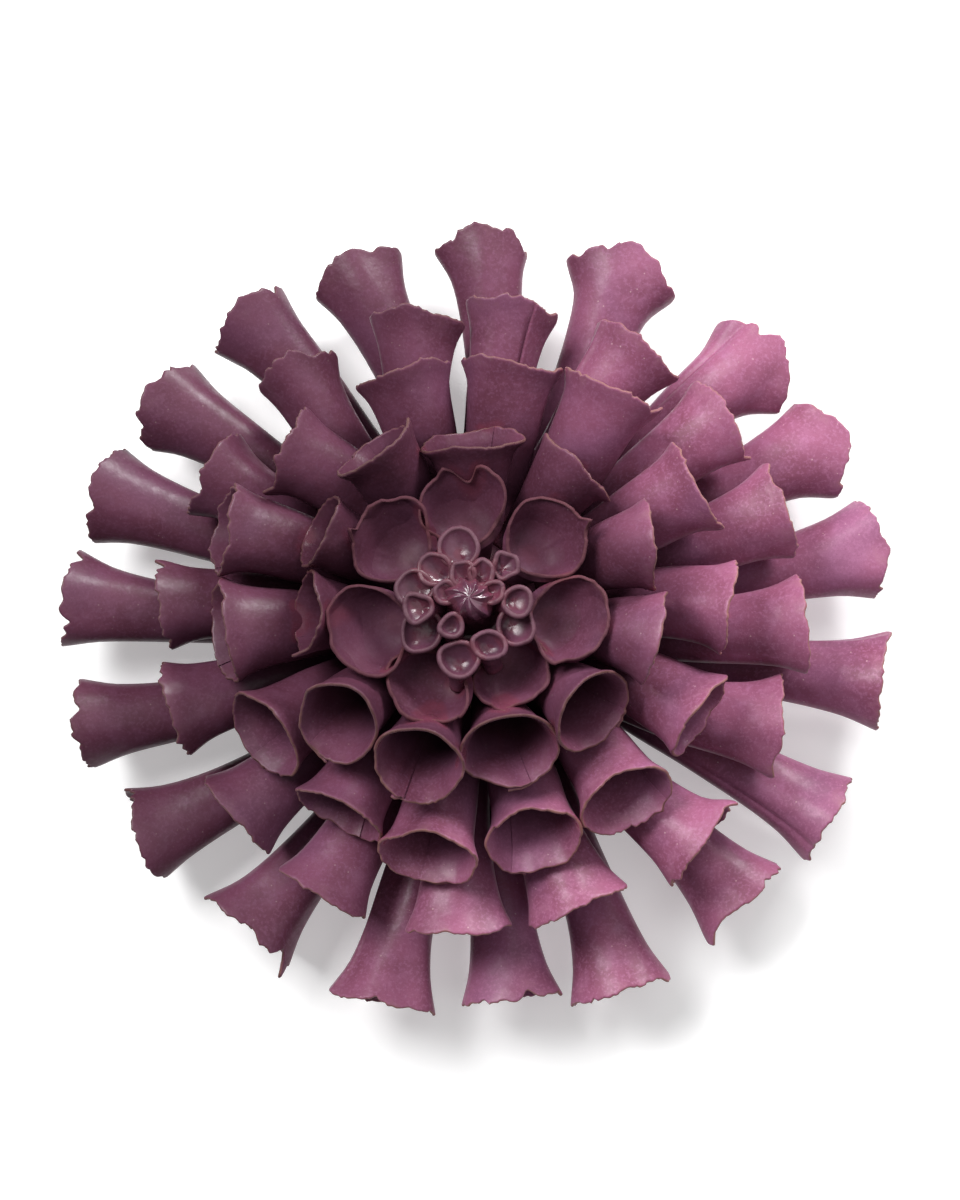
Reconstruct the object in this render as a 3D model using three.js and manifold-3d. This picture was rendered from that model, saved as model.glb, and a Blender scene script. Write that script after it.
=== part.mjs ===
// A glazed clay flower for a wall: rings of rolled trumpet petals on a flat-backed dome, with a heart of curls.
// Millimetres. The flat back is the plane z = 0 around the origin, the flower faces +Z and its top is +Y.
// Turns are degrees clockwise from the top, seen from the front. A pitch is degrees that a petal rises.
import * as THREE from "three";
import { mergeVertices } from "three/addons/utils/BufferGeometryUtils.js";
import Module from "manifold-3d";

const wasm = await Module();
wasm.setup();

// Clay sheet and the room between pieces.
const sheet = 1.8;
const rimThickness = 1.2;
const rootGap = 0.3;
const stemGap = 1.5;
const layerGap = 1.5;

// Stems, pressed a little flat.
const stemWidth = 12;
const stemHeight = 10;

// Dome and its hanging recess.
const footHeight = 4;
const footInset = 4;
const firstRootHeight = 13;
const domeSides = 40;
const hangHoleRadius = 6;
const hangHoleRise = 12;
const hangSlotWidth = 5;
const hangSlotLength = 12;
const hangLipThickness = 3.6;
const hangDepth = 9;

// Rings of petals from the outside in. Reach is how far out a mouth's centre is, mouthGap the room between
// neighbouring mouths, and clearance the room over the ring below. Each list holds one value for each petal:
// drift in degrees from even spacing, stretch in mm on the reach, spread in mm on the width, lift in degrees,
// tip in mm that the upper lip leads the lower one by, each way, and tongue in mm of its rounded end.
const outerRing = {
  name: "outer_petal",
  count: 19,
  phase: 5,
  reach: 118,
  mouthGap: 10.5,
  mouthHeight: 21,
  flare: 3.2,
  pitch: 5,
  drift: [-4, -1, 4, 1, -1, -1, 1, -1, 2, -1, -1, 3, 5, 4, 3, 0, -3, -4, -5],
  stretch: [-4, -5, -5, -4, 1, 4, 2, -3, 0, -5, -1, -4, 0, 2, 3, -1, -5, -5, -7],
  spread: [-2, 1, 0, 0, 1, 0, -2, 1, 0, 1, 2, 3, 0, -2, 0, 1, 0, -1, -1],
  lift: [0, 1, 0, -1, 0, 1, 0, -1, 0, 0, 1, 0, -1, 0, 1, 0, 0, 1, -1],
  tip: [3, 4, 4, 4, 3, 2, 2, 2, 2, 2, 2, 2, 2, 3, 3, 3, 3, 3, 3],
  tongue: [3, 7, 8, 6, 3, 0, 0, 0, 0, 0, 0, 0, 1, 2, 1, 4, 5, 4, 5],
};
const secondRing = {
  name: "second_petal",
  count: 16,
  phase: 5,
  reach: 92.5,
  mouthGap: 8.5,
  mouthHeight: 21,
  flare: 3,
  clearance: 3,
  drift: [2, 4, 2, -1, -3, -7, -4, -2, -2, 1, 0, 0, -3, 1, 4, 6],
  stretch: [-1, -1, 0, 2, 4, 2, 3, -1, 0, 1, -1, 0, -2, -5, -3, -3],
  spread: [-2, 0, 0, 0, 1, 2, 0, 2, 2, 1, 1, 0, -2, -1, -3, -2],
  lift: [0, 1, 0, 0, 1, 0, 0, 1, 0, 0, 0, 1, 0, 0, 0, 1],
  tip: [4, 4, 4, 4, 4, 4, 3, 4, 5, 4, 4, 4, 4, 4, 4, 4],
  tongue: [1, 2, 2, 1, 0, 0, 0, 0, 0, 0, 0, 0, 1, 3, 3, 1],
};
const thirdRing = {
  name: "third_petal",
  count: 14,
  phase: 9,
  reach: 72,
  mouthGap: 4,
  mouthHeight: 23,
  flare: 2.6,
  clearance: 3.5,
  drift: [0, -2, 1, 4, 4, 4, 2, 1, -2, -2, -1, -4, -7, 0],
  stretch: [0, 3, 2, 3, 2, 0, -2, 2, 0, -1, 0, 3, -1, 0],
  spread: [1, 1, 0, -1, -1, 0, 0, 1, 0, 0, 1, -2, -1, 0],
  lift: [0, 0, 0, 0, 0, 1, 2, 1, 1, 2, 0, 0, 0, 0],
  tip: [5, 5, 5, 5, 3, -3, -4, -2, 2, -1, 4, 4, 5, 5],
  tongue: [0, 0, 0, 0, 0, 0, 0, 0, 0, 0, 0, 0, 0, 0],
};
const fourthRing = {
  count: 11,
  phase: 2,
  mouthGap: 2,
  mouthHeight: 25,
  flare: 1.8,
  clearance: 7,
  cupRoom: 2,
  sunk: 2.5,
  drift: [-2, 3, 5, 1, -1, 0, -1, -4, 3, -1, -1],
  stretch: [-2, 1, 4, 4, -2, -5, 0, 2, -2, -1, 3],
  spread: [1, -2, -1, 0, 0, 1, -1, -1, -1, -4, -1],
  lift: [-3, -5, -6, -7, 2, 7, 5, 3, -4, -4, -3],
  tip: [3, 6, 8, 8, 2, 0, -1, -1, 3, 3, 4],
  tongue: [0, 0, 0, 0, 0, 0, 0, 0, 0, 0, 0],
};
const cupRing = {
  name: "cup_petal",
  count: 7,
  phase: -2,
  reach: 28,
  mouthGap: 2.5,
  mouthHeight: 15,
  flare: 1.2,
  pitch: 50,
  drift: [-3, 2, 1, -2, 2, -2, 1],
  stretch: [-1, 0, 1, -5, -1, 2, 0],
  spread: [0, -1, 0, -2, 0, 1, 0],
  lift: [1, 2, 0, 5, 3, 0, 2],
  tip: [-7, -7, -7, -5, -5, -7, -7],
  tongue: [0, 0, 0, 0, 0, 0, 0],
};

// The heart: small curls in two circles around a folded bud.
const heartRadius = 8;
const heartRootLift = 8;
const curlStem = 5.5;
const curlClearance = 2;
const curlSunk = 2;
const outerCurls = {
  rise: 0,
  turns: [348, 310, 281, 259, 236, 190, 157, 120, 95, 48],
  reaches: [17, 15, 18, 17, 18, 19, 16, 17, 16, 16],
  widths: [11, 9, 10, 8, 12, 11, 9, 11, 8, 7],
};
const innerCurls = {
  rise: 2,
  turns: [26, 346, 282, 213, 77],
  reaches: [10, 9, 9, 11, 9],
  widths: [8, 8, 7, 8, 7],
};
const budRadius = 7;
const budRise = 5;
const budFolds = 8;
const budFoldDepth = 0.8;

const petalSides = 10;
const curlSides = 8;

const glazeColour = 0x8f5d7a;
const bareClayColour = 0xc9a98c;

const UP = new THREE.Vector3(0, 0, 1);
const { degToRad, lerp } = THREE.MathUtils;

// A direction that heads out from the middle at a turn and rises by a pitch.
function heading(turn, pitch = 0) {
  const flat = new THREE.Vector3(Math.sin(degToRad(turn)), Math.cos(degToRad(turn)), 0);
  return flat.multiplyScalar(Math.cos(degToRad(pitch))).setZ(Math.sin(degToRad(pitch)));
}

// A point at a turn, a distance from the middle and a height.
function place(turn, radius, height) {
  return heading(turn).multiplyScalar(radius).setZ(height);
}

// The radius at which a ring's stems stand side by side.
function rootRadiusOf(count, width) {
  return (count * (width + stemGap)) / (2 * Math.PI);
}

// How wide and how tall a petal is along its length: a stem that opens into a mouth.
function swellAt(along, stem, mouth, flare) {
  return lerp(stem, mouth, Math.min(along, 1) ** flare) / 2;
}

// The height of a ring's upper side at a distance from the middle.
function crestOf(ring, radius) {
  const along = (radius - ring.rootRadius) / (ring.reach - ring.rootRadius);
  const rise = Math.tan(degToRad(ring.pitch));
  const middle = ring.rootHeight + (radius - ring.rootRadius) * rise;
  return middle + swellAt(along, stemHeight, ring.mouthHeight, ring.flare) / Math.cos(degToRad(ring.pitch));
}

// Works out where a ring is rooted and, if another ring is below it, the pitch that clears that ring.
function settle(ring, below) {
  ring.rootRadius = rootRadiusOf(ring.count, stemWidth);
  ring.rootHeight = below ? below.rootHeight + stemHeight + layerGap : firstRootHeight;
  ring.mouthWidth = (2 * Math.PI * ring.reach) / ring.count - ring.mouthGap;
  if (ring.pitch === undefined) {
    const mouthRise = crestOf(below, ring.reach) + ring.clearance + ring.mouthHeight / 2;
    ring.pitch = THREE.MathUtils.radToDeg(
      Math.atan2(mouthRise - ring.rootHeight, ring.reach - ring.rootRadius),
    );
  }
}

// The fourth ring's mouths stand clear of the cups in front of them.
fourthRing.reach = cupRing.reach + (cupRing.mouthHeight + fourthRing.mouthHeight) / 2 + fourthRing.cupRoom;

settle(outerRing);
settle(secondRing, outerRing);
settle(thirdRing, secondRing);
settle(fourthRing, thirdRing);
settle(cupRing, fourthRing);

// The spine of a petal: a bend that leaves the dome squarely and ends at the middle of the mouth.
function spineOf(root, leaving, mouth) {
  const elbow = root.clone().addScaledVector(leaving, root.distanceTo(mouth) / 2);
  return (along) => {
    const back = 1 - along;
    return root
      .clone()
      .multiplyScalar(back * back)
      .addScaledVector(elbow, 2 * back * along)
      .addScaledVector(mouth, along * along);
  };
}

// One ring of points around a trumpet's spine. Inset moves it in from the outer face.
function sectionPoints(trumpet, station, inset) {
  const points = [];
  const step = 0.01;
  for (let i = 0; i < trumpet.sides; i += 1) {
    const angle = (2 * Math.PI * i) / trumpet.sides;
    const side = Math.cos(angle);
    const top = Math.sin(angle);
    const lip = trumpet.tip * top + trumpet.tongue * Math.max(0, top) ** 2;
    const along = station * (1 + lip / trumpet.length);
    const middle = trumpet.spine(along);
    const tangent = trumpet.spine(along + step).sub(trumpet.spine(along - step)).normalize();
    const across = new THREE.Vector3().crossVectors(UP, tangent).normalize();
    const upward = new THREE.Vector3().crossVectors(tangent, across);
    const halfWidth = swellAt(along, trumpet.stemWidth, trumpet.mouthWidth, trumpet.flare) - inset;
    const halfHeight = swellAt(along, trumpet.stemHeight, trumpet.mouthHeight, trumpet.flare) - inset;
    middle.addScaledVector(across, side * halfWidth);
    points.push(middle.addScaledVector(upward, top * halfHeight));
  }
  return points;
}

// A closed skin from an end point through rings of points to another end point.
function skin(start, rings, end) {
  const sides = rings[0].length;
  const points = [start, ...rings.flat(), end];
  const faces = [];
  const at = (ring, side) => 1 + ring * sides + (side % sides);
  for (let side = 0; side < sides; side += 1) {
    faces.push(0, at(0, side + 1), at(0, side));
    faces.push(points.length - 1, at(rings.length - 1, side), at(rings.length - 1, side + 1));
    for (let ring = 0; ring + 1 < rings.length; ring += 1) {
      faces.push(at(ring, side), at(ring, side + 1), at(ring + 1, side + 1));
      faces.push(at(ring, side), at(ring + 1, side + 1), at(ring + 1, side));
    }
  }
  const geometry = new THREE.BufferGeometry().setFromPoints(points);
  geometry.setIndex(faces);
  return geometry;
}

// A trumpet of clay sheet: an outer face up to the lip, and a hollow back down towards the stem.
function trumpetGeometry(trumpet) {
  const rings = [
    ...trumpet.outerStations.map((station) => sectionPoints(trumpet, station, 0)),
    sectionPoints(trumpet, 1, rimThickness),
    ...trumpet.hollowStations.map((station) => sectionPoints(trumpet, station, sheet)),
  ];
  return skin(trumpet.spine(0), rings, trumpet.spine(trumpet.hollowEnd));
}

function petalGeometry(ring, index) {
  const rootTurn = ring.phase + (360 * index) / ring.count;
  const turn = rootTurn + ring.drift[index];
  const squarely = heading(rootTurn, ring.pitch);
  const root = place(rootTurn, ring.rootRadius, ring.rootHeight);
  root.addScaledVector(squarely, rootGap - (ring.sunk ?? 0));
  const reach = ring.reach + ring.stretch[index];
  const rise = Math.tan(degToRad(ring.pitch + ring.lift[index])) * (reach - ring.rootRadius);
  const mouth = place(turn, reach, ring.rootHeight + rise);
  return trumpetGeometry({
    sides: petalSides,
    spine: spineOf(root, squarely, mouth),
    length: root.distanceTo(mouth),
    stemWidth,
    stemHeight,
    mouthWidth: ring.mouthWidth + ring.spread[index],
    mouthHeight: ring.mouthHeight,
    flare: ring.flare,
    tip: ring.tip[index],
    tongue: ring.tongue[index],
    outerStations: [0, 0.45, 0.8, 1],
    hollowStations: [0.75],
    hollowEnd: 0.4,
  });
}

// A profile on a sloping band that squarely faces a ring's roots: its lower and its upper edge.
function rootBand(ring) {
  const half = (stemHeight + layerGap / 2) / 2;
  const slope = degToRad(ring.pitch);
  const edge = (way) =>
    new THREE.Vector2(
      ring.rootRadius - way * half * Math.sin(slope),
      ring.rootHeight + way * half * Math.cos(slope),
    );
  return [edge(-1), edge(1)];
}

// A solid of revolution about Z whose profile is given as radius and height, bottom first.
function turned(profile) {
  const closed = [new THREE.Vector2(0, profile[0].y), ...profile, new THREE.Vector2(0, profile.at(-1).y)];
  return new THREE.LatheGeometry(closed, domeSides).rotateX(Math.PI / 2);
}

function toSolid(geometry) {
  const bare = geometry.clone().deleteAttribute("normal").deleteAttribute("uv");
  const merged = mergeVertices(bare, 1e-4);
  return new wasm.Manifold(
    new wasm.Mesh({
      numProp: 3,
      vertProperties: merged.attributes.position.array,
      triVerts: new Uint32Array(merged.index.array),
    }),
  );
}

function toGeometry(solid) {
  const mesh = solid.getMesh();
  const geometry = new THREE.BufferGeometry();
  geometry.setAttribute("position", new THREE.BufferAttribute(mesh.vertProperties, 3));
  geometry.setIndex(new THREE.BufferAttribute(mesh.triVerts, 1));
  return geometry;
}

function join(geometries) {
  return toGeometry(geometries.map(toSolid).reduce((whole, piece) => whole.add(piece)));
}

const domeTop = rootBand(thirdRing)[1].y + layerGap / 2;

// The dome, flat behind, with a recess that lets it hang on a screw head.
function domeGeometry() {
  const [outerLow, outerHigh] = rootBand(outerRing);
  const [secondLow, secondHigh] = rootBand(secondRing);
  const [thirdLow, thirdHigh] = rootBand(thirdRing);
  const foot = new THREE.Vector2(outerLow.x - footInset, 0);
  const heel = new THREE.Vector2(outerLow.x, Math.min(footHeight, outerLow.y / 2));
  const crown = new THREE.Vector2(thirdHigh.x - layerGap, domeTop);
  const body = turned([
    foot,
    heel,
    outerLow,
    outerHigh,
    secondLow,
    secondHigh,
    thirdLow,
    thirdHigh,
    crown,
  ]);
  return toGeometry(toSolid(body).subtract(toSolid(hangEntry())).subtract(toSolid(hangChamber())));
}

// The screw head goes in at the round hole and slides up behind the lip of the slot.
function hangEntry() {
  const shape = new THREE.Shape();
  const slotHalf = hangSlotWidth / 2;
  const meet = Math.sqrt(hangHoleRadius ** 2 - slotHalf ** 2);
  const start = Math.atan2(meet, slotHalf);
  const slotEnd = hangHoleRise + hangSlotLength;
  shape.absarc(0, hangHoleRise, hangHoleRadius, Math.PI - start, start, false);
  shape.absarc(0, slotEnd, slotHalf, 0, Math.PI, false);
  const options = { depth: hangLipThickness + 2, bevelEnabled: false, curveSegments: 16 };
  return new THREE.ExtrudeGeometry(shape, options).translate(0, 0, -1);
}

function hangChamber() {
  const shape = new THREE.Shape();
  shape.absarc(0, hangHoleRise, hangHoleRadius, Math.PI, 2 * Math.PI, false);
  shape.absarc(0, hangHoleRise + hangSlotLength, hangHoleRadius, 0, Math.PI, false);
  const options = { depth: hangDepth - hangLipThickness, bevelEnabled: false, curveSegments: 16 };
  return new THREE.ExtrudeGeometry(shape, options).translate(0, 0, hangLipThickness);
}

// A collar on the dome with the fourth ring pressed into it. The cups stand on its upper slope.
const collarTop = rootBand(cupRing)[1].y;

function fourthRingGeometry() {
  const [fourthLow, fourthHigh] = rootBand(fourthRing);
  const [cupLow, cupHigh] = rootBand(cupRing);
  const hem = new THREE.Vector2(fourthLow.x, domeTop + rootGap);
  const collar = turned([hem, fourthLow, fourthHigh, cupLow, cupHigh]);
  const pieces = [collar];
  for (let index = 0; index < fourthRing.count; index += 1) {
    pieces.push(petalGeometry(fourthRing, index));
  }
  return join(pieces);
}

// The bud is a low dome with folds that run out from its tip.
function budGeometry(base) {
  const levels = [0, 0.35, 0.65, 0.88];
  const sides = budFolds * 2;
  const rings = levels.map((level) => {
    const radius = budRadius * Math.cos((level * Math.PI) / 2) ** 0.6;
    return Array.from({ length: sides }, (unused, side) => {
      const fold = side % 2 ? -budFoldDepth : 0;
      return place((-360 * side) / sides, radius + fold * (1 - level), base + budRise * level);
    });
  });
  return skin(new THREE.Vector3(0, 0, base - 1), rings, new THREE.Vector3(0, 0, base + budRise));
}

function curlGeometry(turn, reach, width, rootHeight, mouthHeight) {
  const root = place(turn, curlSunk, rootHeight);
  const mouth = place(turn, reach, mouthHeight);
  const pitch = (Math.atan2(mouthHeight - rootHeight, reach - curlSunk) * 180) / Math.PI;
  return trumpetGeometry({
    sides: curlSides,
    spine: spineOf(root, heading(turn, pitch), mouth),
    length: root.distanceTo(mouth),
    stemWidth: curlStem,
    stemHeight: curlStem,
    mouthWidth: width,
    mouthHeight: width * 0.8,
    flare: 2,
    tip: -width / 4,
    tongue: 0,
    outerStations: [0, 0.6, 1],
    hollowStations: [],
    hollowEnd: 0.55,
  });
}

function heartGeometry() {
  const floor = collarTop + rootGap;
  const rootHeight = floor + heartRootLift;
  const cupMouth = cupRing.rootHeight + Math.tan(degToRad(cupRing.pitch)) * (cupRing.reach - cupRing.rootRadius);
  const pieces = [];
  for (const circle of [outerCurls, innerCurls]) {
    circle.turns.forEach((turn, index) => {
      const width = circle.widths[index];
      const mouthHeight = cupMouth + curlClearance + width / 2 + circle.rise;
      pieces.push(curlGeometry(turn, circle.reaches[index], width, rootHeight, mouthHeight));
    });
  }
  const budBase = cupMouth + curlClearance;
  const column = turned([
    new THREE.Vector2(heartRadius, floor),
    new THREE.Vector2(heartRadius - 1, rootHeight),
    new THREE.Vector2(budRadius - 1, budBase),
  ]);
  return join([column, budGeometry(budBase - 1), ...pieces]);
}

function glazed(roughness) {
  return new THREE.MeshStandardMaterial({ color: glazeColour, roughness, metalness: 0 });
}

function addMesh(group, name, geometry, material) {
  const mesh = new THREE.Mesh(geometry, material);
  mesh.name = name;
  group.add(mesh);
}

function addRing(group, ring) {
  for (let index = 0; index < ring.count; index += 1) {
    const name = `${ring.name}_${String(index + 1).padStart(2, "0")}`;
    addMesh(group, name, petalGeometry(ring, index), glazed(0.4));
  }
}

const flower = new THREE.Group();
const bareClay = new THREE.MeshStandardMaterial({ color: bareClayColour, roughness: 0.85, metalness: 0 });
addMesh(flower, "dome", domeGeometry(), bareClay);
addRing(flower, outerRing);
addRing(flower, secondRing);
addRing(flower, thirdRing);
addMesh(flower, "fourth_ring", fourthRingGeometry(), glazed(0.4));
addRing(flower, cupRing);
addMesh(flower, "heart", heartGeometry(), glazed(0.3));

export default flower;
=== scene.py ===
import math

import bpy
import numpy as np
from mathutils import Matrix, Vector
from mathutils.bvhtree import BVHTree
from mathutils.noise import noise as noise_at


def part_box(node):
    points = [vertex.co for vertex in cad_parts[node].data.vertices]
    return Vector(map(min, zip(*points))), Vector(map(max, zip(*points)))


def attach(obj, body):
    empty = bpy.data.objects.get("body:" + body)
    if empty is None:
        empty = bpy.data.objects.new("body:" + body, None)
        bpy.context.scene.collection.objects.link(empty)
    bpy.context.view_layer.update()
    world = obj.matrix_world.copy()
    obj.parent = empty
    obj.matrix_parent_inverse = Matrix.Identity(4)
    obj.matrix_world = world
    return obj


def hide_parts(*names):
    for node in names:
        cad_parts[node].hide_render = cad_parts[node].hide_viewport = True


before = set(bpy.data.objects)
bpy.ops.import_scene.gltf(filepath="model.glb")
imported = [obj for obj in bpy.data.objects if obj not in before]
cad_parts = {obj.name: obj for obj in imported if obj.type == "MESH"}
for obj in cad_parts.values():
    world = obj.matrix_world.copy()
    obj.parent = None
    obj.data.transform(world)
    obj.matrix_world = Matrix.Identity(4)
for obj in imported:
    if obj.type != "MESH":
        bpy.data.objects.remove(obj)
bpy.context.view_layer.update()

mm = 0.001
FULL = 2 * np.pi

# A CAD trumpet's rings: points in each, and how far along the petal the four outer ones are.
SIDES = 10
STATIONS = np.array([0.0, 0.45, 0.8, 1.0])
SINGLE_LAYERS = 6
GROUPED_LAYERS = 5

# The clay sheet: its thickness at the root and at the lip, the gap in the seam, and its roots in the dome.
SHEET = 1.8 * mm
LIP_SHEET = 1.05 * mm
SEAM_GAP = 0.15 * mm
ROOT_SINK = 2.5 * mm

# Points lie close together near the sheet's side edges and near its lip.
SIDE_STEPS = np.radians([0.0, 0.7, 1.8, 3.4, 5.4])
LIP_STEPS = np.array([0.0, 0.07, 0.2, 0.4, 0.75, 1.3, 2.1]) * mm
BOWL_LIP_STEPS = np.array([0.0, 0.4, 0.9, 1.6, 2.6]) * mm

# The seam: how far the upper flap stands up, and where the lower one dips and thins out.
FLAP_TURN = np.radians(34)
DIP_STARTS = FULL - np.radians(62)
DIP_ENDS = FULL - np.radians(4)
FEATHER_STARTS = FULL - np.radians(12)

# Clay smeared round a root, and how far thin glaze and pooled glaze reach.
SMEAR = 1.1 * mm
SMEAR_REACH = 1.3 * mm
RIM_REACH = 0.55 * mm
FLAP_RIM_REACH = 0.5 * mm
ROOT_POOL_REACH = 2.5 * mm
SEAM_POOL_REACH = 0.9 * mm
MEETING_REACH = 3.2 * mm

# How much painted shade darkens the flower's left half and the ring round its heart.
LEFT_PAINTED_SHADE = 0.78
HEART_PAINTED_SHADE = 0.74


def smooth(low, high, x):
    """0 below low, 1 above high, and an even curve between them."""
    part = np.clip((x - low) / (high - low), 0.0, 1.0)
    return part * part * (3 - 2 * part)


def unit(vectors):
    """Vectors of length 1."""
    return vectors / np.maximum(np.linalg.norm(vectors, axis=-1, keepdims=True), 1e-12)


# ---------------------------------------------------------------- reading the CAD trumpets


def welded(name):
    """A CAD node's points without doubles, and each point's neighbours."""
    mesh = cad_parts[name].data
    mesh.calc_loop_triangles()
    places, points, merged = {}, [], []
    for vertex in mesh.vertices:
        key = tuple(round(c / (0.004 * mm)) for c in vertex.co)
        if key not in places:
            places[key] = len(points)
            points.append(tuple(vertex.co))
        merged.append(places[key])
    links = [set() for _ in points]
    for triangle in mesh.loop_triangles:
        corners = [merged[v] for v in triangle.vertices]
        for corner in corners:
            links[corner].update(c for c in corners if c != corner)
    return np.array(points), links


def ordered(points, tangent):
    """A ring's points in the order of the petal's own angle."""
    across = unit(np.cross((0.0, 0.0, 1.0), tangent))
    upward = np.cross(tangent, across)
    apart = points - points.mean(axis=0)
    angles = np.arctan2(apart @ upward, apart @ across) % FULL
    order = np.argsort(angles)
    steps = FULL * np.arange(SIDES) / SIDES
    misfits = []
    for shift in range(SIDES):
        error = angles[np.roll(order, shift)] - steps
        misfits.append(np.abs((error + np.pi) % FULL - np.pi).sum())
    return points[np.roll(order, int(np.argmin(misfits)))]


def trumpets(name, layers):
    """Each trumpet of a CAD node as its outer rings, root first: (station, side, xyz)."""
    points, links = welded(name)
    found = []
    for pole in range(len(points)):
        rings, seen = [{pole}], {pole}
        while len(rings) <= layers:
            ring = set().union(*(links[v] for v in rings[-1])) - seen
            if len(ring) != SIDES:
                break
            seen |= ring
            rings.append(ring)
        if len(rings) == layers + 1:
            found.append((pole, [points[sorted(ring)] for ring in rings[1:]]))
    if layers == SINGLE_LAYERS:
        # Both ends of a single petal are poles. The inner one, further out, comes after the hollow.
        found = [max(found, key=lambda f: np.hypot(*points[f[0]][:2]))]
    made = []
    for _, rings in found:
        outer = rings[2:][::-1]
        centres = [ring.mean(axis=0) for ring in outer]
        tangents = [unit(b - a) for a, b in zip(centres, centres[1:])]
        outer = [ordered(r, t) for r, t in zip(outer, [tangents[0], *tangents])]
        if len(outer) < len(STATIONS):
            # The root is inside the collar: it carries on straight down from the next ring.
            reach = (STATIONS[1] - STATIONS[0]) / (STATIONS[2] - STATIONS[1])
            back = centres[0] - (centres[1] - centres[0]) * reach
            outer.insert(0, back + (outer[0] - centres[0]) * 0.8)
        made.append(np.array(outer))
    made.sort(key=lambda r: math.atan2(r[-1, :, 0].mean(), r[-1, :, 1].mean()) % FULL)
    return made


# ---------------------------------------------------------------- sheets and meshes


def around_weights(angles):
    """How much each side of a ring counts at an angle: a smooth periodic curve through its points."""
    x = (angles[:, None] - FULL * np.arange(SIDES) / SIDES + np.pi) % FULL - np.pi
    near = np.abs(x) < 1e-9
    safe = np.where(near, 1.0, x)
    return np.where(near, 1.0, np.sin(SIDES * safe / 2) / (SIDES * np.tan(safe / 2)))


def along_weights(along):
    """How much each station counts at a place along the petal: a cubic through the four rings."""
    weights = []
    for k, station in enumerate(STATIONS):
        others = np.delete(STATIONS, k)
        weights.append(np.prod([(along - o) / (station - o) for o in others], axis=0))
    return np.stack(weights, axis=-1)


def normals_of(grid):
    """Outward normals of a grid (along, around, xyz)."""
    return unit(np.cross(np.gradient(grid, axis=1), np.gradient(grid, axis=0)))


def quads(numbers):
    """The faces between the points of a grid of point numbers."""
    corners = [numbers[:-1, :-1], numbers[:-1, 1:], numbers[1:, 1:], numbers[1:, :-1]]
    return np.stack(corners, axis=-1).reshape(-1, 4)


def sheet_mesh(outer, thickness, edge_distance):
    """A closed sheet with rounded edges below an outer face: points, faces, and which points of the grid
    have a second point on the inner face. The outer face's points come first."""
    rows, columns = outer.shape[:2]
    normals = normals_of(outer)
    radius = thickness / 2
    inset = 1 - np.clip(edge_distance / radius, 0, 1)
    half = radius * np.sqrt(1 - inset**2)
    middle = outer - normals * radius[..., None]
    upper = middle + normals * half[..., None]
    lower = middle - normals * half[..., None]
    front = np.arange(rows * columns).reshape(rows, columns)
    back = front.copy()
    inside = (slice(1, -1), slice(1, -1))
    inner_count = (rows - 2) * (columns - 2)
    back[inside] = rows * columns + np.arange(inner_count).reshape(rows - 2, columns - 2)
    points = np.concatenate([upper.reshape(-1, 3), lower[inside].reshape(-1, 3)])
    return points, np.concatenate([quads(front), quads(back)[:, ::-1]]).tolist(), inside


def turned_mesh(grid, start, end):
    """A closed body from a grid that closes on itself around, with a pole at each end."""
    rows, columns = grid.shape[:2]
    points = np.concatenate([grid.reshape(-1, 3), [start, end]])
    number = np.arange(rows * columns).reshape(rows, columns)
    wrapped = np.concatenate([number, number[:, :1]], axis=1)
    faces = quads(wrapped).tolist()
    first, last = wrapped[0].tolist(), wrapped[-1].tolist()
    faces += [[first[i + 1], first[i], rows * columns] for i in range(columns)]
    faces += [[last[i], last[i + 1], rows * columns + 1] for i in range(columns)]
    return points, faces


def on_sheet(values, inside):
    """A grid of values as one value for each point of a sheet."""
    return np.concatenate([values.reshape(-1), values[inside].reshape(-1)])


pieces = {}


def keep(name, points, faces, rim, pool, painted_shade, material, slot, node):
    """Put a piece aside. Its points each have a rim (thin glaze), a pool (thick pink glaze) and an amount
    of painted shade, which darkens it towards near black. One number stands for all points."""
    plain = np.ones(len(points))
    pieces[name] = {
        "points": points,
        "faces": faces,
        "rim": rim * plain,
        "pool": pool * plain,
        "painted_shade": painted_shade * plain,
        "material": material,
        "slot": slot,
        "node": node,
    }


# ---------------------------------------------------------------- petals


def waves(rng, angles, counts, size):
    """A smooth closed wave round the lip, made of a few whole counts."""
    total = np.zeros_like(angles)
    for count in counts:
        total += rng.normal() * np.cos(count * angles + rng.uniform(0, FULL)) / count**0.5
    return size * total / len(counts) ** 0.5


def torn(rng, angles, teeth, size):
    """A torn edge: straight stretches of uneven length between random heights."""
    knots = np.sort((np.arange(teeth) + rng.uniform(-0.42, 0.42, teeth)) * FULL / teeth)
    heights = rng.normal(0, size, teeth)
    return np.interp(angles % FULL, knots, heights, period=FULL)


def bell(angles, centre, width):
    """1 at an angle and falling away on both sides of it, in degrees."""
    apart = (angles - np.radians(centre) + np.pi) % FULL - np.pi
    return np.exp(-((apart / np.radians(width)) ** 2))


def spike(angles, centre, width):
    """1 at an angle and down to 0 in a straight line on both sides of it, in degrees."""
    apart = np.abs((angles - np.radians(centre) + np.pi) % FULL - np.pi)
    return np.clip(1 - apart / np.radians(width), 0, 1)


def lip_marks(angles, notches, spikes):
    """Notches and points in a lip, each with its angle, width and depth."""
    extra = np.zeros_like(angles)
    for centre, width, depth in notches:
        extra -= bell(angles, centre, width) * depth * mm
    for centre, width, depth in spikes:
        extra += spike(angles, centre, width) * depth * mm
    return extra


def dented(rng, angles, along, number, around_below, most_runs, size):
    """Shallow uneven waves over a whole sheet."""
    total = np.zeros_like(along)
    for _ in range(number):
        around, runs = rng.integers(1, around_below), rng.uniform(0.6, most_runs)
        pattern = np.cos(around * angles + rng.uniform(0, FULL))[None, :]
        pattern = pattern * rng.normal() * size / 2
        total = total + pattern * np.cos(runs * np.pi * along + rng.uniform(0, FULL))
    return total


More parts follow.
